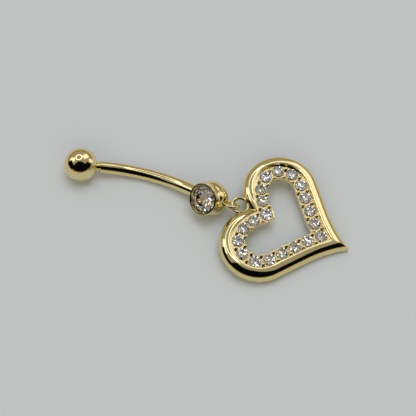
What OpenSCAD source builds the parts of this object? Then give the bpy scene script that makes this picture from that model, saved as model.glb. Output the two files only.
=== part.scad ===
// A curved barbell navel ring with a screw-on ball, a bezel-set gem ball and an
// open heart pendant set with round stones. Lengths are in millimetres, +Z is up,
// and the piece lies on a table whose top is the plane z = 0.

/* [Screw ball] */
// Diameter of the plain ball that screws off
ball_d = 4.5; // [2.5:0.1:6]
// Depth of the threaded hole in the ball, from the ball's surface
ball_hole_depth = 3.0; // [1.5:0.1:4]
// Clearance round the threaded post and past its end
ball_fit = 0.04; // [0.02:0.01:0.1]

/* [Bar] */
// Thickness of the bar (14 gauge)
bar_d = 1.6; // [1:0.1:2.4]
// Distance between the centres of the two balls
span = 18.15; // [12:0.05:24]
// Half of the angle that the bowed part turns through
bow_half_angle = 21; // [8:0.5:35]
// Straight run at each end, measured from the ball's centre
straight_run = 4.0; // [3:0.1:6]
// Diameter of the threaded post
post_d = 1.2; // [0.8:0.05:1.6]
// Length of post that shows between the bar's shoulder and the ball
post_gap = 0.25; // [0.05:0.05:0.6]
// Bevel on the bar's shoulders
shoulder_bevel = 0.15; // [0.05:0.05:0.3]

/* [Gem ball] */
// Diameter of the ball behind the gem
gem_ball_d = 4.7; // [3.5:0.1:7]
// Outer diameter of the bezel collar
collar_d = 4.25; // [3:0.05:6]
// Height of the collar's rim above the ball's centre
collar_rise = 1.95; // [1.4:0.05:3]
// Width of the collar's rim
lip_w = 0.29; // [0.1:0.01:0.5]
// Diameter of the centre gem
gem_d = 3.3; // [2:0.1:5]
// Depth of the gem's edge below the collar's rim
gem_sink = 0.34; // [0.1:0.02:0.8]
// Lean of the gem's face away from straight up
gem_lean = 47; // [0:0.5:80]
// Compass direction in which the gem's face leans
gem_heading = -139.5; // [-180:0.5:180]

/* [Eyelet] */
// Diameter of the eyelet, measured at the middle of its wire
eyelet_d = 2.0; // [1.4:0.05:3]
// Thickness of the eyelet's wire
eyelet_wire = 0.45; // [0.3:0.05:0.8]
// Distance from the gem ball's centre to the eyelet's centre
eyelet_reach = 2.85; // [2:0.05:4]
// Compass direction from the gem ball to the eyelet
eyelet_heading = -20.5; // [-90:0.5:90]
// Compass direction of the line that the eyelet leans about
eyelet_turn = -15; // [-90:1:90]
// Lean of the eyelet about that line
eyelet_lean = -42; // [-90:1:90]

/* [Heart] */
// Radius of the heart's lobes at the outer edge
lobe_r = 5.1; // [3:0.1:9]
// Distance from the heart's middle line to the centre of a lobe
lobe_side = 4.2; // [2.4:0.1:7]
// Angle between the middle line and the straight flanks
flank_angle = 51.2; // [40:0.1:60]
// Length of the straight part of each flank
flank_len = 4.5; // [2:0.1:8]
// Half angle of the heart's point
point_half_angle = 33; // [25:0.5:45]
// Height of the polished rim
rim_h = 1.7; // [0.8:0.05:2.5]
// Width of the polished rim
rim_w = 1.45; // [0.8:0.05:2.5]
// Width of the flat strip along the rim's inner edge
rim_flat = 0.25; // [0.1:0.05:0.6]
// Height of the upright part of the rim's outer side
rim_wall = 0.65; // [0.2:0.05:1]
// Radius of the bend from that side into the rim's crown
rim_nose = 0.4; // [0.2:0.05:0.6]
// Radius of the rim's inner edge beside the cleft
cleft_r = 5.8; // [4:0.1:9]
// Height of the ledge that carries the stones
ledge_h = 1.22; // [0.5:0.02:1.8]
// Height of the ledge's underside
ledge_under = 0.45; // [0.1:0.05:1]
// Width of that ledge
ledge_w = 1.85; // [1.2:0.05:3]

/* [Heart stones] */
// Diameter of each stone
stone_d = 1.6; // [1:0.05:2.2]
// Distance from the rim's inner edge to the line of the stones' centres
stone_line = 0.95; // [0.7:0.05:1.5]
// Distance between neighbouring stones on the flanks
stone_pitch = 1.92; // [1.3:0.02:2.6]
// Turn between neighbouring stones round a lobe
stone_turn = 41.5; // [30:0.5:60]
// Height of the stones' edges above the heart's back
stone_edge_h = 1.32; // [0.6:0.02:1.6]
// Diameter of the bead prongs
bead_d = 0.5; // [0.3:0.02:0.7]

/* [Hanging ring] */
// Diameter of the ring in the cleft, measured at the middle of its wire
ring_d = 2.15; // [1.5:0.05:3.5]
// Thickness of that ring's wire
ring_wire = 0.45; // [0.3:0.05:0.8]

/* [How it lies] */
// Place on the table of the bar's middle, left to right
bar_x = -7.87; // [-20:0.01:20]
// Place on the table of the bar's middle, front to back
bar_y = 4.7; // [-20:0.01:20]
// Place on the table of the heart's point, left to right
point_at_x = 18.74; // [-30:0.01:30]
// Place on the table of the heart's point, front to back
point_at_y = -4.64; // [-30:0.01:30]
// Height of the flat back's point above the table
point_at_z = -0.02; // [-1:0.01:3]
// Compass direction from the plain ball to the gem ball
bar_heading = -16.9; // [-180:0.1:180]
// Compass direction from the heart's point to its cleft
heart_heading = 158.3; // [-180:0.1:180]
// Slope of the heart, with its cleft end held up by the ring
heart_slope = 6.1; // [0:0.1:20]
// Sideways lean of the heart
heart_lean = 2.6; // [-15:0.1:15]

/* [Hidden] */
$fn = 96;
gold = [0.86, 0.70, 0.40];
clear = [0.85, 0.88, 0.92];

// Bow of the bar: its centre line is an arc with a straight run at each end.
bow_r = (span / 2 - straight_run * cos(bow_half_angle)) / sin(bow_half_angle);
bow_rise = straight_run * sin(bow_half_angle) + bow_r * (1 - cos(bow_half_angle));
// The bow leans over until the bar and both balls touch the table together.
bar_lean = asin(((ball_d + gem_ball_d) / 4 - bar_d / 2) / bow_rise);
bar_slope = asin((gem_ball_d - ball_d) / 2 / span);
shoulder = ball_d / 2 + post_gap;
post_in = ball_hole_depth - ball_d / 2 - 2 * ball_fit;
thread_depth = 0.07;
thread_pitch = 0.35;
thread_turns = 8;

// Plan of the heart, measured from the centre of a lobe.
flank_out = flank_angle + 90;
shoulder_pt = [lobe_r * cos(flank_out), lobe_side + lobe_r * sin(flank_out)];
waist_pt = shoulder_pt - flank_len * [cos(flank_angle), sin(flank_angle)];
hollow_r = waist_pt[1] / (cos(point_half_angle) - cos(flank_angle));
hollow_c = waist_pt + hollow_r * [cos(flank_out), sin(flank_out)];
point_x = hollow_c[0] + hollow_r * sin(point_half_angle);
cleft_x = sqrt(lobe_r * lobe_r - lobe_side * lobe_side);
ledge_edge = rim_w + ledge_w;
stone_off = rim_w + stone_line;
stone_lobe_r = lobe_r - stone_off;
// Heart stones: angles round the lobe, then steps down the flank.
first_turn = flank_out + 1.5;
flank_start = [stone_lobe_r * cos(first_turn), lobe_side + stone_lobe_r * sin(first_turn)];
point_stone_x = hollow_c[0] + sqrt(pow(hollow_r + stone_off, 2) - pow(hollow_c[1], 2));
// Beside the cleft the rim's inner edge is an arc about this point of the lobe's own axis.
near_x = lobe_r - rim_w - cleft_r;
// Metal corner inside the cleft: half its width, its length, and the two stones next to it.
corner_half = 0.9;
corner_long = 0.63;
cleft_lip_x = near_x + sqrt(pow(cleft_r - ledge_w, 2) - pow(lobe_side - corner_half, 2)) - corner_long - 0.01;
cleft_stone_x = cleft_lip_x + 1.17;
side_in = 1.154;
side_turn = 34.5;
side_stone = [near_x + (cleft_r - side_in) * cos(side_turn), lobe_side - (cleft_r - side_in) * sin(side_turn)];
guard_h = stone_edge_h + 0.18;
guard_foot = ledge_under + 0.2;
// Bead prongs: distances from the line of the stones, and height of a bead's middle.
bead_in = 0.66;
bead_out = 0.58;
bead_top = stone_edge_h + 0.08;
seat_hole_d = 0.8;
stone_fit = 0.04;
gem_fit = 0.08;
collar_foot = 0.2;
// The bar enters the gem ball as a thinner root, from this far outside to this far inside.
root_d = bar_d - 0.3;
root_out = 0.4;
root_in = 0.5;
tail_gap = 0.22;
// Countersink of the ball's hole: wider than the bar by this much, and this deep.
sink_wide = 0.3;
sink_deep = 0.28;
lip_round = 0.1;
// Shape of the cut stones, as shares of their width or half width.
table_share = 0.57;
crown_share = 0.16;
pavilion_share = 0.84;
ring_gap = -0.02;
ring_z = 0.8;
edge_soft = 0.12;
tip_blunt = 0.05;

// Crown arc of the rim: it starts a hair below the flat strip and runs tangent into the nose.
crown_in = rim_w - rim_flat;
strip_lip = 0.03;
crown_top = rim_h - 0.01;
crown_r = (pow(crown_in - rim_nose, 2) + pow(crown_top - rim_wall, 2) - pow(rim_nose, 2))
  / (2 * (crown_top - rim_wall - rim_nose));

// Puts the bar's own frame (bow towards +Y) where it lies on the table.
module lay_bar() {
  translate([bar_x, bar_y, (ball_d + gem_ball_d) / 4])
    rotate([0, -bar_slope, bar_heading]) rotate([-bar_lean, 0, 0]) children();
}

// One end of the bar: origin at the ball's centre, +X outwards along the bar's end.
module bar_end(side) {
  translate([side * span / 2, 0, 0])
    rotate([0, 0, side > 0 ? -bow_half_angle : 180 + bow_half_angle]) children();
}

// The gem ball's centre, with the table's own axes.
module at_gem_ball() {
  translate([bar_x, bar_y, (ball_d + gem_ball_d) / 4])
    rotate([0, -bar_slope, bar_heading]) translate([span / 2, 0, 0])
    rotate([0, bar_slope, 0]) rotate([0, 0, -bar_heading]) children();
}

// The gem's own frame: +Z is the way the gem faces.
module face_gem() {
  at_gem_ball() rotate([0, gem_lean, gem_heading]) children();
}

// The heart's own frame: origin between the lobes' centres, +X to the cleft, +Z up.
module lay_heart() {
  translate([point_at_x, point_at_y, point_at_z]) rotate([-heart_lean, -heart_slope, heart_heading])
    translate([-point_x, 0, 0]) children();
}

// A rod along X from x0 to x1.
module rod_x(d, x0, x1) {
  translate([x0, 0, 0]) rotate([0, 90, 0]) cylinder(d = d, h = x1 - x0);
}

// A cone along X from diameter d0 at x0 to diameter d1 at x1.
module cone_x(d0, d1, x0, x1) {
  translate([x0, 0, 0]) rotate([0, 90, 0]) cylinder(d1 = d0, d2 = d1, h = x1 - x0);
}

// The screw ball, with its countersunk threaded hole.
module ball() {
  color(gold) lay_bar() bar_end(-1) difference() {
    sphere(d = ball_d);
    rod_x(post_d + 2 * ball_fit, -ball_d, ball_hole_depth - ball_d / 2);
    cone_x(bar_d + sink_wide, post_d, -ball_d / 2 - sink_deep / 3, -ball_d / 2 + sink_deep);
  }
}

// Bowed middle of the bar.
module bow() {
  translate([0, straight_run * sin(bow_half_angle) - bow_r * cos(bow_half_angle), 0])
    rotate([0, 0, 90 - bow_half_angle]) rotate_extrude(angle = 2 * bow_half_angle)
    translate([bow_r, 0]) circle(d = bar_d);
}

// Straight end of the bar with its bevelled shoulder, a hair thinner than the bow.
module bar_tail(shoulder_x) {
  d = bar_d - 0.01;
  rod_x(d, -straight_run, -shoulder_x - shoulder_bevel);
  cone_x(d, d - 2 * shoulder_bevel, -shoulder_x - shoulder_bevel, -shoulder_x);
}

// Threaded post, as a stack of ridges, with a plain neck between the shoulder and the ball.
module post() {
  root = post_d - 2 * thread_depth;
  rod_x(root, -shoulder - 0.2, post_in);
  rod_x(post_d, -shoulder - 0.2, -ball_d / 2);
  for (i = [0 : thread_turns - 1]) {
    x = post_in - (i + 1) * thread_pitch;
    cone_x(root, post_d, x, x + thread_pitch / 2);
    cone_x(post_d, root, x + thread_pitch / 2, x + thread_pitch);
  }
}

// Collar of the bezel, with a rounded outer edge.
module collar() {
  r = collar_d / 2;
  at = [r - lip_round, collar_rise - lip_round];
  rotate_extrude() {
    polygon([[0, collar_foot], [r, collar_foot], [r, at[1]], at, [at[0], collar_rise], [0, collar_rise]]);
    intersection() {
      translate(at) circle(r = lip_round);
      translate(at) square(2 * lip_round);
    }
  }
}

// Hollow that takes the gem.
module gem_cup() {
  edge_z = collar_rise - gem_sink;
  r = gem_d / 2 + gem_fit;
  rotate_extrude() polygon([[0, edge_z - r * pavilion_share - gem_fit], [r, edge_z - gem_fit],
    [r, edge_z + gem_fit], [collar_d / 2 - lip_w, collar_rise], [collar_d / 2 - lip_w, 2 * collar_rise],
    [0, 2 * collar_rise]]);
}

// Eyelet on the gem ball, leaning to take the heart's ring.
module eyelet() {
  at_gem_ball() translate(eyelet_reach * [cos(eyelet_heading), sin(eyelet_heading), 0])
    rotate([eyelet_lean, 0, eyelet_turn]) rotate_extrude() translate([eyelet_d / 2, 0]) circle(d = eyelet_wire);
}

// Bar, post, gem ball, collar and eyelet, soldered into one.
module barbell() {
  color(gold) {
    difference() {
      union() {
        lay_bar() {
          bow();
          bar_end(-1) {
            bar_tail(shoulder);
            post();
          }
          bar_end(1) {
            bar_tail(gem_ball_d / 2 + tail_gap);
            rod_x(root_d, -gem_ball_d / 2 - root_out, -gem_ball_d / 2 + root_in);
          }
        }
        at_gem_ball() sphere(d = gem_ball_d);
        face_gem() collar();
        eyelet();
      }
      face_gem() gem_cup();
    }
  }
}

// Round cut stone: its widest edge is at z = 0, its table faces +Z.
module cut_stone(d) {
  r = d / 2;
  table = r * table_share;
  crown = d * crown_share;
  depth = r * pavilion_share;
  k = 1 / cos(22.5);
  intersection() {
    translate([0, 0, -0.02 * d]) cylinder(r = r, h = crown + 0.02 * d, $fn = 32);
    translate([0, 0, -0.02 * d]) cylinder(r1 = 1.05 * r * k, r2 = table * k, h = crown + 0.02 * d, $fn = 8);
    translate([0, 0, -0.02 * d]) rotate([0, 0, 22.5])
      cylinder(r1 = 1.01 * r * k, r2 = 1.14 * table * k, h = crown + 0.02 * d, $fn = 8);
  }
  intersection() {
    translate([0, 0, -depth]) cylinder(r = r, h = depth, $fn = 32);
    translate([0, 0, -depth]) cylinder(r1 = 0.02 * r, r2 = 1.04 * r * k, h = depth, $fn = 8);
    translate([0, 0, -depth * 1.12]) rotate([0, 0, 22.5])
      cylinder(r1 = 0.05 * r, r2 = 1.08 * r * k, h = depth * 1.12, $fn = 8);
  }
}

// The large gem in the gem ball.
module centre_gem() {
  color(clear) face_gem() translate([0, 0, collar_rise - gem_sink]) cut_stone(gem_d);
}

// Half section of the rim: x = 0 at its outer edge, inside is towards -X.
module rim_section(reach) {
  crown_at = [-crown_in, crown_top - crown_r];
  nose_at = [-rim_nose, rim_wall];
  way = (nose_at - crown_at) / norm(nose_at - crown_at);
  union() {
    intersection() {
      translate(nose_at) circle(r = rim_nose);
      polygon([nose_at, nose_at + [3, 0], nose_at + 3 * way]);
    }
    intersection() {
      translate(crown_at) circle(r = crown_r);
      polygon([crown_at, crown_at + 3 * crown_r * way, [-crown_in, 3 * crown_r]]);
    }
    polygon([[-reach, 0], [-edge_soft, 0], [0, edge_soft], [0, rim_wall], nose_at, crown_at,
      [-crown_in, crown_top], [-reach, crown_top]]);
    translate([-reach, rim_wall]) square([reach - crown_in + strip_lip, rim_h - rim_wall]);
  }
}

// One lobe, solid but for a small hole at its middle, which the opening takes away.
module lobe_body() {
  translate([0, lobe_side, 0]) rotate([0, 0, -112]) rotate_extrude(angle = 112 + flank_out)
    translate([lobe_r, 0]) rim_section(lobe_r - 0.6);
}

// One straight flank, a hair smaller than the lobe and the point that it joins.
module flank_body() {
  translate(waist_pt) rotate([0, 0, flank_out]) rotate([90, 0, 0])
    translate([0, 0, -0.01]) linear_extrude(flank_len + 0.02)
    translate([-rim_w, rim_h / 2]) scale(0.99) translate([rim_w, -rim_h / 2])
    rim_section(ledge_edge + 0.4);
}

// One side of the heart's point, carried across to the far side.
module point_side() {
  translate(hollow_c) rotate([0, 0, point_half_angle - 94])
    rotate_extrude(angle = flank_angle - point_half_angle + 4)
    translate([hollow_r, 0]) mirror([1, 0]) rim_section(2.4 * waist_pt[1]);
}

// Half plan of everything more than `off` inside the outer edge.
module inside_plan(off) {
  drop = off - rim_w;
  near_r = cleft_r - drop;
  corner_x = hollow_c[0] + sqrt(pow(hollow_r + off, 2) - pow(hollow_c[1], 2));
  inner = off * [cos(flank_out), sin(flank_out)];
  intersection() {
    translate([0, lobe_side]) circle(r = lobe_r - off);
    translate([-20, lobe_side]) square([40, 20]);
  }
  intersection() {
    translate([near_x, lobe_side]) circle(r = near_r);
    translate([near_x, 0]) square([20, lobe_side]);
  }
  difference() {
    polygon([[0, lobe_side + (lobe_r - off) * 0.5], shoulder_pt - inner, waist_pt - inner, [corner_x, 0],
      [cleft_lip_x, 0], [cleft_lip_x + corner_long, corner_half], [0, lobe_side]]);
    translate(hollow_c) circle(r = hollow_r + off, $fn = 360);
  }
}

// Centre of a stone, counted from the point (0) up one side to the cleft (10).
function spot(i) =
  i == 0 ? [point_stone_x, 0] :
  i <= 3 ? flank_start - (4 - i) * stone_pitch * [cos(flank_angle), sin(flank_angle)] :
  i <= 8 ? [stone_lobe_r * cos(first_turn - (i - 4) * stone_turn),
            lobe_side + stone_lobe_r * sin(first_turn - (i - 4) * stone_turn)] :
  i == 9 ? side_stone : [cleft_stone_x, 0];

// Bead prongs in the gap between stones i and i + 1.
module bead_pair(i) {
  mid = (spot(i) + spot(i + 1)) / 2;
  step = spot(i + 1) - spot(i);
  inward = [step[1], -step[0]] / norm(step);
  for (s = [bead_in, -bead_out]) translate(mid + s * inward) {
    translate([0, 0, ledge_h - 0.3]) cylinder(d = bead_d * 0.84, h = bead_top - ledge_h + 0.3, $fn = 24);
    translate([0, 0, bead_top]) sphere(d = bead_d, $fn = 24);
  }
}

// Seat under a stone: a cone for its lower half and a hole through the back.
module seat() {
  r = stone_d / 2 + stone_fit;
  depth = r * pavilion_share;
  translate([0, 0, stone_edge_h - stone_fit - depth]) cylinder(r1 = 0, r2 = r, h = depth);
  translate([0, 0, ledge_under - 0.2]) cylinder(d = seat_hole_d, h = stone_edge_h - ledge_under - depth / 2 + 0.2);
}

// Upright V of metal that guards the corner of the cleft stone.
module cleft_guard() {
  translate([0, 0, guard_foot]) linear_extrude(guard_h - guard_foot)
    polygon([[cleft_lip_x - 0.05, 0], [cleft_lip_x + 0.57, 0.88], [cleft_lip_x + 0.76, 0.75],
    [cleft_lip_x + 0.24, 0], [cleft_lip_x + 0.76, -0.75], [cleft_lip_x + 0.57, -0.88]]);
}

// Ring soldered into the heart's cleft.
module hanging_ring() {
  translate([cleft_x + (ring_d + ring_wire) / 2 + ring_gap, 0, ring_z])
    rotate_extrude() translate([ring_d / 2, 0]) circle(d = ring_wire);
}

// The same shape on both sides of the heart's middle line.
module both_halves() {
  children();
  mirror([0, 1, 0]) children();
}

// The whole heart before the ledge and the opening are cut. Its point is blunted a hair.
module heart_body() {
  both_halves() {
    lobe_body();
    flank_body();
  }
  intersection() {
    point_side();
    mirror([0, 1, 0]) point_side();
    translate([point_x + tip_blunt, -20, -1]) cube([40, 40, 10]);
  }
}

// The heart's rim, ledge, seats, prongs and ring, cast in one.
module heart_frame() {
  color(gold) lay_heart() {
    difference() {
      heart_body();
      translate([0, 0, ledge_h]) linear_extrude(3) {
        inside_plan(rim_w);
        mirror([0, 1]) inside_plan(rim_w);
      }
      translate([0, 0, -1]) linear_extrude(5) {
        inside_plan(ledge_edge);
        mirror([0, 1]) inside_plan(ledge_edge);
      }
      // The back is hollow under the ledge.
      translate([0, 0, -1]) linear_extrude(1 + ledge_under) {
        inside_plan(rim_w);
        mirror([0, 1]) inside_plan(rim_w);
      }
      for (i = [0 : 10]) translate(spot(i)) seat();
      for (i = [1 : 9]) mirror([0, 1, 0]) translate(spot(i)) seat();
    }
    both_halves() for (i = [0 : 9]) bead_pair(i);
    cleft_guard();
    hanging_ring();
  }
}

// A stone in place: i counts from the point, side is 1 or -1.
module heart_stone(i, side) {
  color(clear) lay_heart() translate([spot(i)[0], side * spot(i)[1], stone_edge_h])
    rotate([0, 0, 37 * i]) cut_stone(stone_d);
}

module point_stone() { heart_stone(0, 1); }
module cleft_stone() { heart_stone(10, 1); }
module left_stone_1() { heart_stone(1, 1); }
module left_stone_2() { heart_stone(2, 1); }
module left_stone_3() { heart_stone(3, 1); }
module left_stone_4() { heart_stone(4, 1); }
module left_stone_5() { heart_stone(5, 1); }
module left_stone_6() { heart_stone(6, 1); }
module left_stone_7() { heart_stone(7, 1); }
module left_stone_8() { heart_stone(8, 1); }
module left_stone_9() { heart_stone(9, 1); }
module right_stone_1() { heart_stone(1, -1); }
module right_stone_2() { heart_stone(2, -1); }
module right_stone_3() { heart_stone(3, -1); }
module right_stone_4() { heart_stone(4, -1); }
module right_stone_5() { heart_stone(5, -1); }
module right_stone_6() { heart_stone(6, -1); }
module right_stone_7() { heart_stone(7, -1); }
module right_stone_8() { heart_stone(8, -1); }
module right_stone_9() { heart_stone(9, -1); }

ball();
barbell();
centre_gem();
heart_frame();
point_stone();
cleft_stone();
left_stone_1();
left_stone_2();
left_stone_3();
left_stone_4();
left_stone_5();
left_stone_6();
left_stone_7();
left_stone_8();
left_stone_9();
right_stone_1();
right_stone_2();
right_stone_3();
right_stone_4();
right_stone_5();
right_stone_6();
right_stone_7();
right_stone_8();
right_stone_9();
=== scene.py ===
import math

import bmesh
import bpy
from mathutils import Matrix, Vector


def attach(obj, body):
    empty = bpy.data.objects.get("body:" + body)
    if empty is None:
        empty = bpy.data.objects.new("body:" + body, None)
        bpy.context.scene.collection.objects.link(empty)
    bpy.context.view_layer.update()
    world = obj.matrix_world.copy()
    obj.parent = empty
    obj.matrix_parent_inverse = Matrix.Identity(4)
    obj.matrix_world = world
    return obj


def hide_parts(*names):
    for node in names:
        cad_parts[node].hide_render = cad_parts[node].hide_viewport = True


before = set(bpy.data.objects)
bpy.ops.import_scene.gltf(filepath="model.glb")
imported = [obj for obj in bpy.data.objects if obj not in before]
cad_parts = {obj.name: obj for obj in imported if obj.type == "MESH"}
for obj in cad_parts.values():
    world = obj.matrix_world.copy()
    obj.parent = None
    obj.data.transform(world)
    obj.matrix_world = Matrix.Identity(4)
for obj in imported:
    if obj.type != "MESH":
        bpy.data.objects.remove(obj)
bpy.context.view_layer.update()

# Sizes are in millimetres and angles in degrees. The values down to "Only here" are
# the same as in the part's source.
MM = 0.001

# Screw ball
BALL_D = 4.5
BALL_HOLE_DEPTH = 3.0
BALL_FIT = 0.04
# Bar
BAR_D = 1.6
SPAN = 18.15
BOW_HALF_ANGLE = 21
STRAIGHT_RUN = 4.0
POST_D = 1.2
POST_GAP = 0.25
SHOULDER_BEVEL = 0.15
THREAD_DEPTH = 0.07
THREAD_PITCH = 0.35
THREAD_TURNS = 8
ROOT_D = BAR_D - 0.3
ROOT_IN = 0.5
TAIL_GAP = 0.22
# Gem ball
GEM_BALL_D = 4.7
COLLAR_D = 4.25
COLLAR_RISE = 1.95
LIP_W = 0.29
LIP_ROUND = 0.1
GEM_D = 3.3
GEM_FIT = 0.08
GEM_SINK = 0.34
GEM_LEAN = 47
GEM_HEADING = -139.5
# Eyelet
EYELET_D = 2.0
EYELET_WIRE = 0.45
EYELET_REACH = 2.85
EYELET_HEADING = -20.5
EYELET_TURN = -15
EYELET_LEAN = -42
# Heart
LOBE_R = 5.1
LOBE_SIDE = 4.2
FLANK_ANGLE = 51.2
FLANK_LEN = 4.5
POINT_HALF_ANGLE = 33
RIM_H = 1.7
RIM_W = 1.45
RIM_FLAT = 0.25
RIM_WALL = 0.65
RIM_NOSE = 0.4
CLEFT_R = 5.8
LEDGE_H = 1.22
LEDGE_UNDER = 0.45
LEDGE_W = 1.85
EDGE_SOFT = 0.12
# Heart stones
STONE_D = 1.6
STONE_LINE = 0.95
STONE_PITCH = 1.92
STONE_TURN = 41.5
STONE_EDGE_H = 1.32
BEAD_D = 0.5
BEAD_IN = 0.66
BEAD_OUT = 0.58
BEAD_RISE = 0.08
CORNER_HALF = 0.9
CORNER_LONG = 0.63
SIDE_IN = 1.154
SIDE_TURN = 34.5
SEAT_HOLE_D = 0.8
STONE_FIT = 0.04
TABLE_SHARE = 0.57
CROWN_SHARE = 0.16
FIRST_STONE_PAST = 1.5
CLEFT_LIP_SHORT = 0.01
CLEFT_STONE_IN = 1.17
GUARD_RISE = 0.18
GUARD_FOOT_RISE = 0.2
# Hanging ring
RING_D = 2.15
RING_WIRE = 0.45
RING_GAP = -0.02
RING_Z = 0.8
# How it lies
BAR_X = -7.87
BAR_Y = 4.7
POINT_AT = (18.74, -4.64, -0.02)
BAR_HEADING = -16.9
HEART_HEADING = 158.3
HEART_SLOPE = 6.1
HEART_LEAN = 2.6

# Only here: countersink of the ball's hole, and soft edges of collar, rim and guard
SINK_WIDER = 0.1
SINK_DEPTH = 0.24
LIP_INNER_SOFT = 0.06
RIM_INNER_SOFT = 0.03
RIM_FOOT_BEND = 0.3
GUARD_SOFT = 0.05
# Low domes on the bead prongs, and how far the prongs reach into the ledge
BEAD_DOME_R = 0.45
BEAD_ROOT = 0.3
# Cut of the stones: shares of their width, and how steep the small facets are
# against the main ones
PAVILION_SHARE = 0.9
GIRDLE_SHARE = 0.016
SMALL_FACET_IN = 0.995
UPPER_FACET_STEEPER = 6.5
STAR_FACET_FLATTER = 14
LOWER_FACET_STEEPER = 2.2
# How the stones are turned in their settings
GEM_TURN = 12
STONE_SPIN_STEP = 37
STONE_SPIN_SIDE = 11
# The ninth stone's seat is this much tighter, so that it keeps clear of the next one
TIGHT_SEAT = 0.06
TIGHT_SPOT = 9
# Points nearer than this are one point, and points this near a plane lie on it
MERGE = 0.0004
MERGE_HALVES = 0.001
ON_PLANE = 0.0005
# Places in a piece's list of finishes
POLISHED = 0
SATIN = 1


def sin(degrees):
    return math.sin(math.radians(degrees))


def cos(degrees):
    return math.cos(math.radians(degrees))


def turn(degrees, axis):
    return Matrix.Rotation(math.radians(degrees), 4, axis)


def shift(x, y, z):
    return Matrix.Translation((x, y, z))


# Bow of the bar
BOW_R = (SPAN / 2 - STRAIGHT_RUN * cos(BOW_HALF_ANGLE)) / sin(BOW_HALF_ANGLE)
BOW_RISE = STRAIGHT_RUN * sin(BOW_HALF_ANGLE) + BOW_R * (1 - cos(BOW_HALF_ANGLE))
REST_Z = (BALL_D + GEM_BALL_D) / 4
BAR_LEAN = math.degrees(math.asin((REST_Z - BAR_D / 2) / BOW_RISE))
BAR_SLOPE = math.degrees(math.asin((GEM_BALL_D - BALL_D) / 2 / SPAN))
SHOULDER = BALL_D / 2 + POST_GAP
POST_IN = BALL_HOLE_DEPTH - BALL_D / 2 - 2 * BALL_FIT

# Plan of the heart
FLANK_OUT = FLANK_ANGLE + 90
FLANK_NORMAL = Vector((cos(FLANK_OUT), sin(FLANK_OUT), 0))
FLANK_WAY = Vector((-cos(FLANK_ANGLE), -sin(FLANK_ANGLE), 0))
LOBE_AT = Vector((0, LOBE_SIDE, 0))
SHOULDER_PT = LOBE_AT + LOBE_R * FLANK_NORMAL
WAIST_PT = SHOULDER_PT + FLANK_LEN * FLANK_WAY
HOLLOW_R = WAIST_PT.y / (cos(POINT_HALF_ANGLE) - cos(FLANK_ANGLE))
HOLLOW_AT = WAIST_PT + HOLLOW_R * FLANK_NORMAL
POINT_X = HOLLOW_AT.x + HOLLOW_R * sin(POINT_HALF_ANGLE)
CLEFT_X = math.sqrt(LOBE_R ** 2 - LOBE_SIDE ** 2)
LEDGE_EDGE = RIM_W + LEDGE_W
STONE_OFF = RIM_W + STONE_LINE
STONE_LOBE_R = LOBE_R - STONE_OFF
FIRST_TURN = FLANK_OUT + FIRST_STONE_PAST
FLANK_START = LOBE_AT + STONE_LOBE_R * Vector((cos(FIRST_TURN), sin(FIRST_TURN), 0))
POINT_STONE_X = HOLLOW_AT.x + math.sqrt((HOLLOW_R + STONE_OFF) ** 2 - HOLLOW_AT.y ** 2)
NEAR_X = LOBE_R - RIM_W - CLEFT_R
CORNER_REACH = math.sqrt((CLEFT_R - LEDGE_W) ** 2 - (LOBE_SIDE - CORNER_HALF) ** 2)
CLEFT_LIP_X = NEAR_X + CORNER_REACH - CORNER_LONG - CLEFT_LIP_SHORT
CLEFT_STONE_X = CLEFT_LIP_X + CLEFT_STONE_IN
CROWN_IN = RIM_W - RIM_FLAT
CROWN_R = ((CROWN_IN - RIM_NOSE) ** 2 + (RIM_H - RIM_WALL) ** 2 - RIM_NOSE ** 2) / (
    2 * (RIM_H - RIM_WALL - RIM_NOSE)
)

# Where each part lies
BAR_MIDDLE = shift(BAR_X, BAR_Y, REST_Z) @ turn(BAR_HEADING, "Z") @ turn(-BAR_SLOPE, "Y")
LAY_BAR = BAR_MIDDLE @ turn(-BAR_LEAN, "X")
BALL_END = LAY_BAR @ shift(-SPAN / 2, 0, 0) @ turn(180 + BOW_HALF_ANGLE, "Z")
GEM_END = LAY_BAR @ shift(SPAN / 2, 0, 0) @ turn(-BOW_HALF_ANGLE, "Z")
AT_GEM_BALL = (
    BAR_MIDDLE @ shift(SPAN / 2, 0, 0) @ turn(BAR_SLOPE, "Y") @ turn(-BAR_HEADING, "Z")
)
FACE_GEM = AT_GEM_BALL @ turn(GEM_HEADING, "Z") @ turn(GEM_LEAN, "Y")
LAY_HEART = (
    shift(*POINT_AT)
    @ turn(HEART_HEADING, "Z")
    @ turn(-HEART_SLOPE, "Y")
    @ turn(-HEART_LEAN, "X")
    @ shift(-POINT_X, 0, 0)
)


# Materials

def new_material(name):
    material = bpy.data.materials.new(name)
    material.use_nodes = True
    nodes = material.node_tree.nodes
    links = material.node_tree.links
    return material, nodes, links, nodes["Principled BSDF"]


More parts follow.
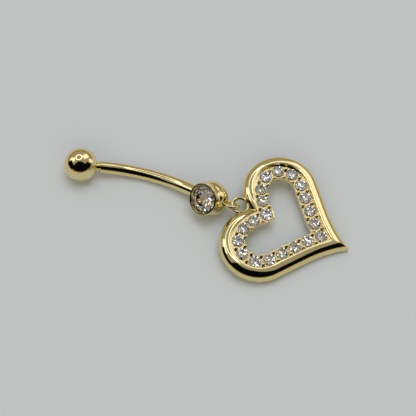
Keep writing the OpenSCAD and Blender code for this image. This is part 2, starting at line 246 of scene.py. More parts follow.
def gold_material(name, pale, deep, polish, wear):
    """Gold between two tints, and between the roughness of fresh polish and of wear."""
    material, nodes, links, shader = new_material(name)
    shader.inputs["Metallic"].default_value = 1.0
    place = nodes.new("ShaderNodeTexCoord")
    # Broad, faint change of tint where the alloy is handled and polished unevenly.
    tint_noise = nodes.new("ShaderNodeTexNoise")
    tint_noise.inputs["Scale"].default_value = 420
    tint_noise.inputs["Detail"].default_value = 3
    links.new(place.outputs["Object"], tint_noise.inputs["Vector"])
    tint = nodes.new("ShaderNodeMix")
    tint.data_type = "RGBA"
    tint.inputs["A"].default_value = (*pale, 1)
    tint.inputs["B"].default_value = (*deep, 1)
    links.new(tint_noise.outputs["Fac"], tint.inputs["Factor"])
    links.new(tint.outputs["Result"], shader.inputs["Base Color"])
    # Fine wear in the polish.
    wear_noise = nodes.new("ShaderNodeTexNoise")
    wear_noise.inputs["Scale"].default_value = 2600
    wear_noise.inputs["Detail"].default_value = 4
    links.new(place.outputs["Object"], wear_noise.inputs["Vector"])
    rough = nodes.new("ShaderNodeMapRange")
    rough.inputs["From Min"].default_value = 0.35
    rough.inputs["From Max"].default_value = 0.75
    rough.inputs["To Min"].default_value = polish
    rough.inputs["To Max"].default_value = wear
    links.new(wear_noise.outputs["Fac"], rough.inputs["Value"])
    links.new(rough.outputs["Result"], shader.inputs["Roughness"])
    # The slight waviness of hand polishing.
    wave_noise = nodes.new("ShaderNodeTexNoise")
    wave_noise.inputs["Scale"].default_value = 620
    wave_noise.inputs["Detail"].default_value = 2
    links.new(place.outputs["Object"], wave_noise.inputs["Vector"])
    wave = nodes.new("ShaderNodeBump")
    wave.inputs["Strength"].default_value = 0.25
    wave.inputs["Distance"].default_value = 0.000035
    links.new(wave_noise.outputs["Fac"], wave.inputs["Height"])
    links.new(wave.outputs["Normal"], shader.inputs["Normal"])
    return material


def stone_material(name, clear, warm, cool):
    """Clear cut stone with painted patches of warm and cool colour that stand in for its flashes
    of split light.
    """
    material, nodes, links, shader = new_material(name)
    shader.inputs["Transmission Weight"].default_value = 1.0
    shader.inputs["IOR"].default_value = 2.16
    place = nodes.new("ShaderNodeTexCoord")
    # Small patches of faint colour are painted light: they stand for the coloured flashes of
    # split light in a cut stone.
    patch = nodes.new("ShaderNodeTexVoronoi")
    patch.inputs["Scale"].default_value = 2400
    links.new(place.outputs["Object"], patch.inputs["Vector"])
    parts = nodes.new("ShaderNodeSeparateColor")
    links.new(patch.outputs["Color"], parts.inputs["Color"])
    painted_fire = nodes.new("ShaderNodeValToRGB")
    painted_fire.color_ramp.interpolation = "CONSTANT"
    painted_fire.color_ramp.elements[0].color = (*warm, 1)
    painted_fire.color_ramp.elements[1].position = 0.4
    painted_fire.color_ramp.elements[1].color = (*clear, 1)
    painted_fire.color_ramp.elements.new(0.78).color = (*cool, 1)
    links.new(parts.outputs["Red"], painted_fire.inputs["Fac"])
    links.new(painted_fire.outputs["Color"], shader.inputs["Base Color"])
    polish_noise = nodes.new("ShaderNodeTexNoise")
    polish_noise.inputs["Scale"].default_value = 3000
    polish_noise.inputs["Detail"].default_value = 3
    links.new(place.outputs["Object"], polish_noise.inputs["Vector"])
    rough = nodes.new("ShaderNodeMapRange")
    rough.inputs["To Min"].default_value = 0.0
    rough.inputs["To Max"].default_value = 0.035
    links.new(polish_noise.outputs["Fac"], rough.inputs["Value"])
    links.new(rough.outputs["Result"], shader.inputs["Roughness"])
    return material


POLISHED_GOLD = gold_material(
    "polished_gold",
    pale=(0.91, 0.79, 0.44),
    deep=(0.86, 0.71, 0.35),
    polish=0.05,
    wear=0.11,
)
SATIN_GOLD = gold_material(
    "satin_gold",
    pale=(0.92, 0.78, 0.43),
    deep=(0.88, 0.71, 0.34),
    polish=0.15,
    wear=0.3,
)
STONE_CLEAR = (1.0, 0.995, 0.98)
CLEAR_STONE = stone_material(
    "clear_stone", clear=STONE_CLEAR, warm=(1.0, 0.87, 0.62), cool=(0.86, 0.84, 1.0)
)
# The large gem gets stronger painted flashes of split light than the small stones.
FIERY_STONE = stone_material(
    "fiery_stone", clear=STONE_CLEAR, warm=(1.0, 0.84, 0.5), cool=(0.76, 0.7, 1.0)
)


# Making pieces

def verts_in(geom):
    return [g for g in geom if isinstance(g, bmesh.types.BMVert)]


def edges_in(geom):
    return [g for g in geom if isinstance(g, bmesh.types.BMEdge)]


def ends_of(edges):
    return list({v for e in edges for v in e.verts})


def all_of(bm):
    return list(bm.verts) + list(bm.edges) + list(bm.faces)


def edges_at(verts):
    return list({e for v in verts for e in v.link_edges})


def merge(bm):
    bmesh.ops.remove_doubles(bm, verts=bm.verts, dist=MERGE)


def lay(bm, place, verts=None):
    """Moves the given vertices, or all of them, by a matrix."""
    bmesh.ops.transform(bm, matrix=place, space=Matrix.Identity(4), verts=verts or bm.verts)


def soften(bm, edges, offset):
    bmesh.ops.bevel(
        bm, geom=edges, offset=offset, offset_type="OFFSET", segments=3,
        profile=0.5, affect="EDGES", material=-1,
    )


def finish_piece(bm, name, place, material, body, node, sharp=32):
    """Makes the bmesh an object; edges that turn more than `sharp` degrees stay crisp."""
    merge(bm)
    bmesh.ops.recalc_face_normals(bm, faces=bm.faces)
    lay(bm, Matrix.Scale(MM, 4) @ place)
    mesh = bpy.data.meshes.new(name)
    bm.to_mesh(mesh)
    bm.free()
    mesh.materials.append(material)
    for face in mesh.polygons:
        face.use_smooth = True
    mesh.set_sharp_from_angle(angle=math.radians(sharp))
    piece = bpy.data.objects.new(name, mesh)
    bpy.context.scene.collection.objects.link(piece)
    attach(piece, body)
    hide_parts(node)
    return piece


def gold_piece(bm, name, place, body, node, sharp=32, gold=POLISHED_GOLD):
    return finish_piece(bm, name, place, gold, body, node, sharp)


def chain(bm, points):
    """Edges through the points, from first to last."""
    verts = [bm.verts.new(p) for p in points]
    edges = [bm.edges.new(pair) for pair in zip(verts, verts[1:])]
    return verts, edges


def spin_edges(bm, edges, cent, axis, degrees, steps):
    """Spins edges and returns the edges at the end of the turn."""
    made = bmesh.ops.spin(
        bm,
        geom=ends_of(edges) + list(edges),
        cent=cent,
        axis=axis,
        angle=math.radians(degrees),
        steps=steps,
        use_merge=False,
    )
    return edges_in(made["geom_last"])


def lathe(bm, edges, steps):
    """Turns a profile round Z into a closed skin."""
    bmesh.ops.spin(
        bm,
        geom=ends_of(edges) + list(edges),
        cent=(0, 0, 0),
        axis=(0, 0, 1),
        angle=2 * math.pi,
        steps=steps,
        use_merge=True,
    )


def extrude_by(bm, edges, way):
    """Extrudes edges along a vector and returns the new edges."""
    made = bmesh.ops.extrude_edge_only(bm, edges=edges)
    verts = verts_in(made["geom"])
    bmesh.ops.translate(bm, verts=verts, vec=way)
    return [e for e in edges_in(made["geom"]) if all(v in verts for v in e.verts)]


def arc_points(cx, cz, r, start, end, steps):
    """Points on an arc in the XZ plane, both ends included."""
    span = end - start
    return [
        (cx + r * cos(start + span * i / steps), 0, cz + r * sin(start + span * i / steps))
        for i in range(steps + 1)
    ]


def wire_ring(bm, ring_d, wire, ring_steps=96, wire_steps=28):
    """A ring of round wire round Z."""
    made = bmesh.ops.create_circle(
        bm,
        cap_ends=False,
        segments=wire_steps,
        radius=wire / 2,
        matrix=shift(ring_d / 2, 0, 0) @ turn(90, "X"),
    )
    lathe(bm, edges_at(made["verts"]), ring_steps)


# Screw ball: a turned ball with a countersunk blind hole for the post

def make_screw_ball():
    bm = bmesh.new()
    r = BALL_D / 2
    hole_r = POST_D / 2 + BALL_FIT
    sink_r = hole_r + SINK_WIDER
    mouth = math.degrees(math.asin(sink_r / r))
    profile = arc_points(0, 0, r, -90, 90 - mouth, 72)
    profile.append((hole_r, 0, r - SINK_DEPTH))
    profile.append((hole_r, 0, r - BALL_HOLE_DEPTH))
    profile.append((0, 0, r - BALL_HOLE_DEPTH))
    lathe(bm, chain(bm, profile)[1], steps=128)
    return gold_piece(bm, "screw_ball", BALL_END @ turn(-90, "Y"), "ball", "ball")


# Bar: a round rod, bent, with a bevelled shoulder and a threaded post

def make_bar():
    bm = bmesh.new()
    # The profile starts on the post's end and runs out to the rod's full thickness.
    root = POST_D / 2 - THREAD_DEPTH
    profile = [(0, 0, POST_IN), (root, 0, POST_IN)]
    for i in range(THREAD_TURNS):
        crest = POST_IN - (i + 0.5) * THREAD_PITCH
        profile.append((POST_D / 2, 0, crest))
        profile.append((root, 0, crest - THREAD_PITCH / 2))
    profile.append((root, 0, -BALL_D / 2))
    profile.append((POST_D / 2, 0, -BALL_D / 2))
    profile.append((POST_D / 2, 0, -SHOULDER))
    profile.append((BAR_D / 2 - SHOULDER_BEVEL, 0, -SHOULDER))
    profile.append((BAR_D / 2, 0, -SHOULDER - SHOULDER_BEVEL))
    lathe(bm, chain(bm, profile)[1], steps=48)
    # From here on the rod is pulled out of its open end.
    lay(bm, BALL_END @ turn(90, "Y"))
    merge(bm)
    end = [e for e in bm.edges if e.is_boundary]
    way = (BALL_END.to_3x3() @ Vector((-1, 0, 0))).normalized()
    run = STRAIGHT_RUN - SHOULDER - SHOULDER_BEVEL
    end = extrude_by(bm, end, way * run)
    bow_at = LAY_BAR @ Vector(
        (0, STRAIGHT_RUN * sin(BOW_HALF_ANGLE) - BOW_R * cos(BOW_HALF_ANGLE), 0)
    )
    bow_axis = LAY_BAR.to_3x3() @ Vector((0, 0, -1))
    end = spin_edges(bm, end, bow_at, bow_axis, 2 * BOW_HALF_ANGLE, steps=64)
    way = (GEM_END.to_3x3() @ Vector((1, 0, 0))).normalized()
    end = extrude_by(bm, end, way * (STRAIGHT_RUN - GEM_BALL_D / 2 - TAIL_GAP))
    # The bar steps down to a thinner root, which is soldered into the gem ball.
    end = extrude_by(bm, end, Vector((0, 0, 0)))
    root_verts = ends_of(end)
    middle = sum((v.co for v in root_verts), Vector()) / len(root_verts)
    shrink = ROOT_D / BAR_D
    bmesh.ops.scale(
        bm, vec=(shrink, shrink, shrink), space=Matrix.Translation(-middle), verts=root_verts
    )
    end = extrude_by(bm, end, way * (TAIL_GAP + ROOT_IN))
    bmesh.ops.contextual_create(bm, geom=end)
    return gold_piece(bm, "bar", Matrix.Identity(4), "ring", "barbell")


# Gem ball: ball, collar and cup turned in one

def make_gem_ball():
    bm = bmesh.new()
    r = GEM_BALL_D / 2
    collar_r = COLLAR_D / 2
    meet = math.degrees(math.acos(collar_r / r))
    profile = arc_points(0, 0, r, -90, meet, 60)
    profile += arc_points(
        collar_r - LIP_ROUND, COLLAR_RISE - LIP_ROUND, LIP_ROUND, 0, 90, 14
    )
    inner = collar_r - LIP_W + LIP_INNER_SOFT
    profile += arc_points(inner, COLLAR_RISE - LIP_INNER_SOFT, LIP_INNER_SOFT, 90, 180, 4)
    edge_z = COLLAR_RISE - GEM_SINK
    cup_r = GEM_D / 2 + GEM_FIT
    profile.append((cup_r, 0, edge_z + GEM_FIT))
    profile.append((cup_r, 0, edge_z - GEM_FIT))
    profile.append((0, 0, edge_z - cup_r * PAVILION_SHARE - GEM_FIT))
    lathe(bm, chain(bm, profile)[1], steps=144)
    for face in bm.faces:
        middle = face.calc_center_median()
        in_cup = middle.z > 0 and math.hypot(middle.x, middle.y) < collar_r - LIP_W
        face.material_index = SATIN if in_cup else POLISHED
    ball = gold_piece(bm, "gem_ball", FACE_GEM, "ring", "barbell")
    ball.data.materials.append(SATIN_GOLD)
    return ball


def make_eyelet():
    bm = bmesh.new()
    wire_ring(bm, EYELET_D, EYELET_WIRE)
    reach = EYELET_REACH * Vector((cos(EYELET_HEADING), sin(EYELET_HEADING), 0))
    place = (
        AT_GEM_BALL @ Matrix.Translation(reach) @ turn(EYELET_TURN, "Z") @ turn(EYELET_LEAN, "X")
    )
    return gold_piece(bm, "eyelet", place, "ring", "barbell")


# Cut stones

def cut(bm, point, normal):
    """Grinds one flat facet: everything beyond the plane goes, and the face closes."""
    made = bmesh.ops.bisect_plane(
        bm,
        geom=all_of(bm),
        dist=0.00001,
        plane_co=point,
        plane_no=normal,
        clear_outer=True,
    )
    edges = edges_in(made["geom_cut"])
    if len(edges) > 2:
        bmesh.ops.contextual_create(bm, geom=edges)


def facet(bm, azimuth, tilt, through):
    """A facet that faces the given way, through a point."""
    normal = Vector((cos(azimuth) * sin(tilt), sin(azimuth) * sin(tilt), cos(tilt)))
    cut(bm, through, normal)


def cut_stone(d):
    """Round brilliant with its widest edge at z = 0 and its table facing +Z."""
    bm = bmesh.new()
    r = d / 2
    table_r = r * TABLE_SHARE
    crown = d * CROWN_SHARE
    depth = r * PAVILION_SHARE
    girdle = GIRDLE_SHARE * d
    small_r = r * SMALL_FACET_IN
    bmesh.ops.create_cone(
        bm,
        cap_ends=True,
        segments=64,
        radius1=r,
        radius2=r,
        depth=crown + depth,
        matrix=shift(0, 0, (crown - depth) / 2),
    )
    main_tilt = math.degrees(math.atan2(crown - girdle, r - table_r))
    for i in range(8):
        facet(bm, 45 * i, main_tilt, (r * cos(45 * i), r * sin(45 * i), girdle))
    for i in range(16):
        a = 22.5 * i + 11.25
        tilt = main_tilt + UPPER_FACET_STEEPER
        facet(bm, a, tilt, (small_r * cos(a), small_r * sin(a), girdle))
    for i in range(8):
        a = 45 * i + 22.5
        star_r = table_r * cos(22.5)
        tilt = main_tilt - STAR_FACET_FLATTER
        facet(bm, a, tilt, (star_r * cos(a), star_r * sin(a), crown))
    under_tilt = math.degrees(math.atan2(depth - girdle, r))
    for i in range(8):
        a = 45 * i
        facet(bm, a, 180 - under_tilt, (r * cos(a), r * sin(a), -girdle))
    for i in range(16):
        a = 22.5 * i + 11.25
        tilt = 180 - under_tilt - LOWER_FACET_STEEPER
        facet(bm, a, tilt, (small_r * cos(a), small_r * sin(a), -girdle))
    return bm


def make_stone(name, node, d, place, stone=CLEAR_STONE):
    piece = finish_piece(
        cut_stone(d), name, place, stone, "ring", node, sharp=1
    )
    for face in piece.data.polygons:
        face.use_smooth = False
    return piece


def spot(i):
    """Centre of a stone, counted from the point (0) up one side to the cleft (10)."""
    if i == 0:
        return Vector((POINT_STONE_X, 0, 0))
    if i <= 3:
        return FLANK_START + (4 - i) * STONE_PITCH * FLANK_WAY
    if i <= 8:
        a = FIRST_TURN - (i - 4) * STONE_TURN
        return LOBE_AT + STONE_LOBE_R * Vector((cos(a), sin(a), 0))
    if i == 9:
        reach = CLEFT_R - SIDE_IN
        return Vector((NEAR_X + reach * cos(SIDE_TURN), LOBE_SIDE - reach * sin(SIDE_TURN), 0))
    return Vector((CLEFT_STONE_X, 0, 0))


def stone_spots():
    """Each heart stone's node name with its count from the point and its side."""
    spots = [("point_stone", 0, 1), ("cleft_stone", 10, 1)]
    for i in range(1, 10):
        spots.append((f"left_stone_{i}", i, 1))
        spots.append((f"right_stone_{i}", i, -1))
    return spots


def make_stones():
    make_stone(
        "centre_gem_cut",
        "centre_gem",
        GEM_D,
        FACE_GEM @ shift(0, 0, COLLAR_RISE - GEM_SINK) @ turn(GEM_TURN, "Z"),
        FIERY_STONE,
    )
    for node, i, side in stone_spots():
        at = spot(i)
        spin = turn(STONE_SPIN_STEP * i + STONE_SPIN_SIDE * side, "Z")
        place = LAY_HEART @ shift(at.x, side * at.y, STONE_EDGE_H) @ spin
        make_stone(node + "_cut", node, STONE_D, place)


# Heart

LOBE_STEPS = 112
INNER_LOBE_STEPS = 72
CLEFT_STEPS = 24
HOLLOW_STEPS = 30
# The half heart is made this far past the point and the cleft, and then cut.
PAST_POINT = 5
CLEFT_START = -79


def wall_reach(azimuth):
    """Distance from a lobe's centre to the rim's inner edge."""
    if azimuth >= 0:
        return LOBE_R - RIM_W
    return NEAR_X * cos(azimuth) + math.sqrt(CLEFT_R ** 2 - (NEAR_X * sin(azimuth)) ** 2)


def rim_section():
    """Half section of the rim: x = 0 at its outer edge, inside is towards -X."""
    crown_z = RIM_H - CROWN_R
    nose_way = math.degrees(math.atan2(RIM_WALL - crown_z, CROWN_IN - RIM_NOSE))
    crown = arc_points(-CROWN_IN, crown_z, CROWN_R, 90, nose_way, 28)
    nose = arc_points(-RIM_NOSE, RIM_WALL, RIM_NOSE, nose_way, 0, 10)
    bend = EDGE_SOFT * RIM_FOOT_BEND
    foot = [(0, 0, EDGE_SOFT), (-bend, 0, bend), (-EDGE_SOFT, 0, 0)]
    return [(-RIM_W, 0, RIM_H)] + crown + nose[1:] + foot


def height_at(section, x):
    """Height of the rim's crown at a distance inside its outer edge."""
    for (x0, _, z0), (x1, _, z1) in zip(section, section[1:]):
        if x0 <= x <= x1 and x1 > x0:
            return z0 + (z1 - z0) * (x - x0) / (x1 - x0)
    return section[0][2]


def rim_skin(bm):
    """Sweeps the rim's outside from the cleft round one lobe and down to the point."""
    section = rim_section()
    verts, edges = chain(bm, [(LOBE_R + x, 0, z) for x, _, z in section])
    lay(bm, Matrix.Translation(LOBE_AT) @ turn(CLEFT_START, "Z"), verts)
    follow_heart(bm, edges, FLANK_OUT - CLEFT_START, LOBE_STEPS)
    # Beside the cleft the inner wall stands further out, so the crown ends on it.
    for vert in bm.verts:
        way = vert.co - LOBE_AT
        azimuth = math.degrees(math.atan2(way.y, way.x))
        reach = math.hypot(way.x, way.y)
        if CLEFT_START - 1 < azimuth < 0 and reach < wall_reach(azimuth):
            reach = wall_reach(azimuth)
            z = height_at(section, reach - LOBE_R)
            vert.co = LOBE_AT + Vector((reach * cos(azimuth), reach * sin(azimuth), z))
    merge(bm)


def follow_heart(bm, edges, lobe_turn, steps):
    """Carries edges round the lobe, straight down the flank and along the hollow side."""
    end = spin_edges(bm, edges, LOBE_AT, (0, 0, 1), lobe_turn, steps)
    end = extrude_by(bm, end, FLANK_WAY * FLANK_LEN)
    past = FLANK_ANGLE - POINT_HALF_ANGLE + PAST_POINT
    spin_edges(bm, end, HOLLOW_AT, (0, 0, -1), past, HOLLOW_STEPS)


def carry_point(bm, vert, lobe_turn, steps):
    """Carries one vertex the same way as follow_heart and leaves its line of edges."""
    made = bmesh.ops.spin(
        bm, geom=[vert], cent=LOBE_AT, axis=(0, 0, 1), angle=math.radians(lobe_turn), steps=steps
    )
    made = bmesh.ops.extrude_vert_indiv(bm, verts=verts_in(made["geom_last"]))
    end = made["verts"]
    bmesh.ops.translate(bm, verts=end, vec=FLANK_WAY * FLANK_LEN)
    past = FLANK_ANGLE - POINT_HALF_ANGLE + PAST_POINT
    bmesh.ops.spin(
        bm,
        geom=end,
        cent=HOLLOW_AT,
        axis=(0, 0, -1),
        angle=math.radians(past),
        steps=HOLLOW_STEPS,
    )


def inner_line(bm, off, z):
    """Line on the ledge's plan, `off` inside the outer edge, from the cleft to the point."""
    near_r = CLEFT_R - (off - RIM_W)
    if near_r > LOBE_SIDE:
        start = Vector((NEAR_X + math.sqrt(near_r ** 2 - LOBE_SIDE ** 2), 0, z))
        vert = bm.verts.new(start)
        rise = math.degrees(math.asin(LOBE_SIDE / near_r))
    else:
        lip = bm.verts.new((CLEFT_LIP_X, 0, z))
        corner = Vector((NEAR_X + CORNER_REACH, CORNER_HALF, z))
        vert = bm.verts.new(corner)
        bm.edges.new((lip, vert))
        rise = math.degrees(math.asin((LOBE_SIDE - CORNER_HALF) / near_r))
    made = bmesh.ops.spin(
        bm,
        geom=[vert],
        cent=(NEAR_X, LOBE_SIDE, z),
        axis=(0, 0, 1),
        angle=math.radians(rise),
        steps=CLEFT_STEPS,
    )
    carry_point(bm, verts_in(made["geom_last"])[0], FLANK_OUT, INNER_LOBE_STEPS)


def wall_of_line(off, top, bottom):
    """Upright wall under one of the heart's inner lines, one half of the heart."""
    bm = bmesh.new()
    inner_line(bm, off, top)
    merge(bm)
    extrude_by(bm, list(bm.edges), Vector((0, 0, bottom - top)))
    return bm


def add_mesh(bm, other):
    """Moves another bmesh's contents into this one."""
    mesh = bpy.data.meshes.new("scratch")
    other.to_mesh(mesh)
    other.free()
    bm.from_mesh(mesh)
    bpy.data.meshes.remove(mesh)


def cut_at_middle(bm):
    """Cuts what reaches past the heart's middle plane."""
    bmesh.ops.bisect_plane(
        bm,
        geom=all_of(bm),
        dist=0.0001,
        plane_co=(0, 0, 0),
        plane_no=(0, -1, 0),
        clear_outer=True,
    )
    for v in bm.verts:
        if abs(v.co.y) < ON_PLANE:
            v.co.y = 0


def add_other_half(bm):
    """Mirrors the half across the middle plane and joins the two."""
    made = bmesh.ops.duplicate(bm, geom=all_of(bm))
    bmesh.ops.scale(bm, vec=(1, -1, 1), verts=verts_in(made["geom"]))
    bmesh.ops.remove_doubles(bm, verts=bm.verts, dist=MERGE_HALVES)


def open_edges(bm, axis, value):
    """Edges with a free side, both of whose ends lie at one value of an axis."""
    return [
        e
        for e in bm.edges
        if len(e.link_faces) < 2 and all(abs(v.co[axis] - value) < ON_PLANE for v in e.verts)
    ]


def fill_level(bm, z):
    """Closes the flat face at one height between the open edges that lie there."""
    bmesh.ops.triangle_fill(
        bm, edges=open_edges(bm, 2, z), use_beauty=True, use_dissolve=False, normal=(0, 0, 1)
    )


def add_seat(bm, at, tight):
    """Cone and through hole under one stone, open at the ledge's two faces."""
    r = STONE_D / 2 + STONE_FIT
    depth = r * PAVILION_SHARE
    tip = STONE_EDGE_H - STONE_FIT - depth
    mouth_r = r * (LEDGE_H - tip) / depth - tight
    hole_r = SEAT_HOLE_D / 2
    hole_z = tip + depth * hole_r / r
    made = bmesh.ops.create_circle(
        bm, cap_ends=False, segments=40, radius=mouth_r, matrix=shift(at.x, at.y, LEDGE_H)
    )
    edges = extrude_by(bm, edges_at(made["verts"]), Vector((0, 0, hole_z - LEDGE_H)))
    bmesh.ops.scale(
        bm,
        vec=(hole_r / mouth_r, hole_r / mouth_r, 1),
        space=shift(-at.x, -at.y, 0),
        verts=ends_of(edges),
    )
    extrude_by(bm, edges, Vector((0, 0, LEDGE_UNDER - hole_z)))


# A face with less upward normal than this is a wall, and one with more than that a top.
WALL_RISE = 0.05
TOP_RISE = 0.3
ABOVE_LEDGE = 0.03


def wall_tops(bm):
    """The sharp edges where the rim's inner wall meets its crown."""
    bm.normal_update()
    found = []
    for e in bm.edges:
        if len(e.link_faces) != 2 or min(v.co.z for v in e.verts) < LEDGE_H + ABOVE_LEDGE:
            continue
        rises = sorted(abs(f.normal.z) for f in e.link_faces)
        if rises[0] < WALL_RISE and rises[1] > TOP_RISE:
            found.append(e)
    return found


def leave_ledge_satin(bm):
    """The ledge and the walls under it keep the finish of the casting."""
    for face in bm.faces:
        top = max(v.co.z for v in face.verts)
        foot = min(v.co.z for v in face.verts)
        on_ledge = abs(top - LEDGE_H) < MERGE_HALVES and abs(foot - LEDGE_H) < MERGE_HALVES
        below_ledge = abs(face.normal.z) < WALL_RISE and top < LEDGE_H + MERGE_HALVES
        face.material_index = SATIN if on_ledge or below_ledge else POLISHED


def make_heart_rim():
    bm = bmesh.new()
    rim_skin(bm)
    cut_at_middle(bm)
    others = open_edges(bm, 1, 0) + open_edges(bm, 2, 0)
    tops = [e for e in bm.edges if e.is_boundary and e not in others]
    made = bmesh.ops.extrude_edge_only(bm, edges=tops)
    for v in verts_in(made["geom"]):
        v.co.z = LEDGE_H
    add_mesh(bm, wall_of_line(RIM_W, LEDGE_UNDER, 0))
    add_mesh(bm, wall_of_line(LEDGE_EDGE, LEDGE_H, LEDGE_UNDER))
    merge(bm)
    cut_at_middle(bm)
    add_other_half(bm)
    for _, i, side in stone_spots():
        at = spot(i)
        tight = TIGHT_SEAT if i == TIGHT_SPOT else 0
        add_seat(bm, Vector((at.x, side * at.y, 0)), tight)
    for z in (LEDGE_H, LEDGE_UNDER, 0):
        fill_level(bm, z)
    merge(bm)
    bmesh.ops.recalc_face_normals(bm, faces=bm.faces)
    soften(bm, wall_tops(bm), RIM_INNER_SOFT)
    leave_ledge_satin(bm)
    rim = gold_piece(bm, "heart_rim", LAY_HEART, "ring", "heart_frame", sharp=40)
    rim.data.materials.append(SATIN_GOLD)
    return rim


def make_bead_prongs():
    bm = bmesh.new()
    r = BEAD_D / 2
    top = STONE_EDGE_H + BEAD_RISE + r
    foot = LEDGE_H - BEAD_ROOT
    # A beading tool leaves a low dome on each prong.
    edge = math.degrees(math.acos(r / BEAD_DOME_R))
    for i in range(10):
        mid = (spot(i) + spot(i + 1)) / 2
        step = (spot(i + 1) - spot(i)).normalized()
        inward = Vector((step.y, -step.x, 0))
        for side in (1, -1):
            for reach in (BEAD_IN, -BEAD_OUT):
                at = mid + reach * inward
                body = bmesh.new()
                profile = arc_points(0, top - BEAD_DOME_R, BEAD_DOME_R, 90, edge, 6)
                profile.append((r, 0, foot))
                profile.append((0, 0, foot))
                lathe(body, chain(body, profile)[1], steps=24)
                lay(body, shift(at.x, side * at.y, 0))
                add_mesh(bm, body)
    return gold_piece(bm, "bead_prongs", LAY_HEART, "ring", "heart_frame", gold=SATIN_GOLD)


# The guard's outline: an arrowhead that points at the opening. Each corner is a distance
# in from the lip and a distance to the side.
GUARD_CORNERS = [
    (-0.05, 0), (0.57, 0.88), (0.76, 0.75),
    (0.24, 0), (0.76, -0.75), (0.57, -0.88),
]


def make_cleft_guard():
    """Metal corner round the stone in the cleft."""
    bm = bmesh.new()
    foot = LEDGE_UNDER + GUARD_FOOT_RISE
    corners = [bm.verts.new((CLEFT_LIP_X + back, off, foot)) for back, off in GUARD_CORNERS]
    made = bmesh.ops.extrude_face_region(bm, geom=[bm.faces.new(corners)])
    rise = STONE_EDGE_H + GUARD_RISE - foot
    bmesh.ops.translate(bm, verts=verts_in(made["geom"]), vec=(0, 0, rise))
    top = [e for e in bm.edges if all(v.co.z > STONE_EDGE_H for v in e.verts)]
    soften(bm, top, GUARD_SOFT)
    return gold_piece(bm, "cleft_guard", LAY_HEART, "ring", "heart_frame")


def make_jump_ring():
    bm = bmesh.new()
    wire_ring(bm, RING_D, RING_WIRE)
    place = LAY_HEART @ shift(CLEFT_X + (RING_D + RING_WIRE) / 2 + RING_GAP, 0, RING_Z)
    return gold_piece(bm, "jump_ring", place, "ring", "heart_frame")


# Camera

CAMERA_AIM = Vector((0.47, 1.93, 0)) * MM
CAMERA_AWAY = 170 * MM
CAMERA_RISE = 60
# The photo's width, and how far off its plane stands from the lens, both in pixels
PHOTO_W = 416
PHOTO_AWAY = 1275


def make_camera():
    data = bpy.data.cameras.new("camera")
    data.sensor_width = 36
    data.lens = data.sensor_width / (PHOTO_W / PHOTO_AWAY)
    data.clip_start = 0.01
    data.clip_end = 10
    camera = bpy.data.objects.new("camera", data)
    bpy.context.scene.collection.objects.link(camera)
    back = Vector((0, -cos(CAMERA_RISE), sin(CAMERA_RISE)))
    camera.location = CAMERA_AIM + back * CAMERA_AWAY
    camera.rotation_euler = (-back).to_track_quat("-Z", "Y").to_euler()
    bpy.context.scene.camera = camera
    bpy.context.scene.view_settings.view_transform = "Standard"


# Floor and light, in metres

LAMP_WHITE = (0.96, 1.0, 1.1)
RING_LAMP_WHITE = (0.98, 1.0, 1.05)
WARM = (1.0, 0.9, 0.66)
ROOM_TINT = (1.0, 0.965, 0.9)
ROOM_GLOW = 0.35
WALL_GLOW = (0.33, 0.25, 0.13)
NO_GLOW = (0, 0, 0)
PAPER = (0.7, 0.735, 0.742)
CLOTH = (0.006, 0.006, 0.005)

# These show in the metal and in the stones, but don't light the floor.
PANELS = [
    {"name": "left_panel", "way": (-0.776, 0.197, 0.6), "size": (0.22, 0.3), "glow": 0.98},
    {"name": "back_panel", "way": (0.456, 0.544, 0.704), "size": (0.24, 0.36), "glow": 0.84},
    {"name": "right_panel", "way": (0.92, 0.275, 0.283), "size": (0.18, 0.26), "glow": 0.76},
]
SPARKLE_WAYS = [(-0.5, 0.3, 0.8), (0.5, -0.1, 0.85), (0.1, -0.55, 0.83), (0.2, 0.75, 0.6)]
SPARKLE_SIZE = 0.1
SPARKLE_GLOW = 5.0


def stage_object(bm, name, material):
    """Part of the stage, such as the floor or a screen, and not of the jewel."""
    mesh = bpy.data.meshes.new(name)
    bm.to_mesh(mesh)
    bm.free()
    mesh.materials.append(material)
    stand = bpy.data.objects.new(name, mesh)
    bpy.context.scene.collection.objects.link(stand)
    return stand


def make_floor():
    bm = bmesh.new()
    bmesh.ops.create_grid(bm, x_segments=8, y_segments=8, size=1.5)
    material, _, _, shader = new_material("pale_paper")
    shader.inputs["Base Color"].default_value = (*PAPER, 1)
    shader.inputs["Roughness"].default_value = 0.7
    shader.inputs["Specular IOR Level"].default_value = 0.2
    stage_object(bm, "floor", material)


def make_panel_light(name, way, size, glow, away=0.5, color=LAMP_WHITE):
    """A soft box in one direction from the jewel; `glow` is how bright its face looks."""
    data = bpy.data.lights.new(name, "AREA")
    data.shape = "RECTANGLE"
    data.size = size[0]
    data.size_y = size[1]
    data.energy = glow * math.pi * size[0] * size[1]
    data.color = color
    light = bpy.data.objects.new(name, data)
    bpy.context.scene.collection.objects.link(light)
    way = Vector(way).normalized()
    light.location = way * away
    light.rotation_euler = (-way).to_track_quat("-Z", "Y").to_euler()
    return light


def sink_top(bm, reach, low, start, end, share):
    """Between two compass directions a screen's height sinks to a share of what it was."""
    for vert in bm.verts:
        compass = math.degrees(math.atan2(vert.co.y, vert.co.x))
        sink = min(1, max(0, (compass - start) / (end - start)))
        height = math.degrees(math.asin(vert.co.z / reach))
        height = low + (height - low) * (1 - (1 - share) * sink)
        flat = reach * cos(height)
        vert.co = (flat * cos(compass), flat * sin(compass), reach * sin(height))


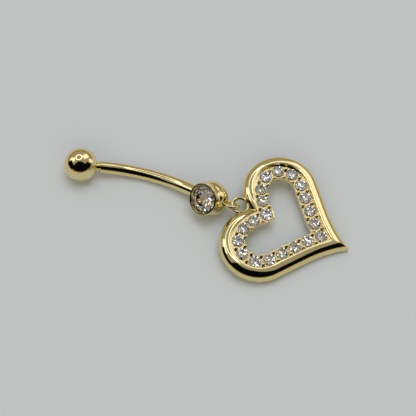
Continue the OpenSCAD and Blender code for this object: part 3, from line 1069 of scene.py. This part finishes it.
def make_screen(name, reach, start, wide, low, high, glow=NO_GLOW, slope=None):
    """Cloth or wall, part of a dome round the jewel; angles are compass and height.

    A slope holds the directions and the share that sink_top takes.
    """
    bm = bmesh.new()
    steps = 10
    lift = [low + (high - low) * i / steps for i in range(steps + 1)]
    verts, edges = chain(bm, [(reach * cos(a), 0, reach * sin(a)) for a in lift])
    lay(bm, turn(start, "Z"), verts)
    spin_edges(bm, edges, (0, 0, 0), (0, 0, 1), wide, steps=40)
    if slope:
        sink_top(bm, reach, low, **slope)
    material, _, _, shader = new_material(name)
    shader.inputs["Base Color"].default_value = (*CLOTH, 1)
    shader.inputs["Roughness"].default_value = 1.0
    shader.inputs["Specular IOR Level"].default_value = 0.0
    shader.inputs["Emission Color"].default_value = (*glow, 1)
    shader.inputs["Emission Strength"].default_value = 1.0
    screen = stage_object(bm, name, material)
    screen.visible_camera = False
    screen.visible_diffuse = False
    screen.visible_shadow = False
    return screen


def make_screens():
    """Two screens show in the metal, a smaller one in the stones; the room's wall is warm."""
    # Its top is lower on the right, where the dark band on the heart is narrow.
    slope = {"start": -42, "end": -28, "share": 0.55}
    in_metal = make_screen(
        "dark_screen", reach=0.45, start=-150, wide=148, low=8, high=80, slope=slope
    )
    # This low one keeps the collar's face dark.
    in_collar = make_screen("collar_screen", reach=0.45, start=-192, wide=42, low=2, high=36)
    in_stones = make_screen("stone_screen", reach=0.44, start=-110, wide=40, low=46, high=72)
    wall = make_screen(
        "room_wall", reach=1.4, start=0, wide=360, low=0, high=20, glow=WALL_GLOW
    )
    in_stones.visible_glossy = False
    for screen in (in_metal, in_collar, wall):
        screen.visible_transmission = False


def make_ring_light(way, away, ring_r, width, strength):
    """A ring lamp that faces the jewel."""
    bm = bmesh.new()
    _, edges = chain(bm, [(ring_r - width / 2, 0, 0), (ring_r + width / 2, 0, 0)])
    lathe(bm, edges, steps=64)
    way = Vector(way).normalized()
    face = (-way).to_track_quat("Z", "Y").to_matrix().to_4x4()
    lay(bm, Matrix.Translation(way * away) @ face)
    material, _, _, shader = new_material("ring_lamp")
    shader.inputs["Base Color"].default_value = (0, 0, 0, 1)
    shader.inputs["Emission Color"].default_value = (*RING_LAMP_WHITE, 1)
    shader.inputs["Emission Strength"].default_value = strength
    lamp = stage_object(bm, "ring_lamp", material)
    lamp.visible_camera = False
    lamp.visible_diffuse = False


def make_light():
    world = bpy.data.worlds.new("studio")
    bpy.context.scene.world = world
    world.use_nodes = True
    sky = world.node_tree.nodes["Background"]
    sky.inputs["Color"].default_value = (*ROOM_TINT, 1)
    sky.inputs["Strength"].default_value = ROOM_GLOW
    make_ring_light(
        way=(-0.185, 0.363, 0.913), away=0.45, ring_r=0.145, width=0.03, strength=2.9
    )
    for panel in PANELS:
        light = make_panel_light(**panel)
        light.visible_diffuse = False
    # Small lamps that make the stones sparkle and show in nothing else.
    for i, way in enumerate(SPARKLE_WAYS):
        spark = make_panel_light(
            f"sparkle_{i}", way, size=(SPARKLE_SIZE, SPARKLE_SIZE), glow=SPARKLE_GLOW
        )
        spark.visible_diffuse = False
        spark.visible_glossy = False
    # These two only light the floor, and show in nothing.
    ceiling = make_panel_light(
        "ceiling", way=(0.05, 0.12, 1.0), size=(0.9, 0.9), glow=2.55, away=1.3
    )
    front_fill = make_panel_light(
        "front_fill", way=(0.0, -0.8, 0.6), size=(1.4, 0.7), glow=0.8, away=1.0, color=WARM
    )
    for fill in (ceiling, front_fill):
        fill.visible_glossy = False
        fill.visible_transmission = False


make_camera()
make_floor()
make_screens()
make_light()
make_screw_ball()
make_bar()
make_gem_ball()
make_eyelet()
make_heart_rim()
make_bead_prongs()
make_cleft_guard()
make_jump_ring()
make_stones()
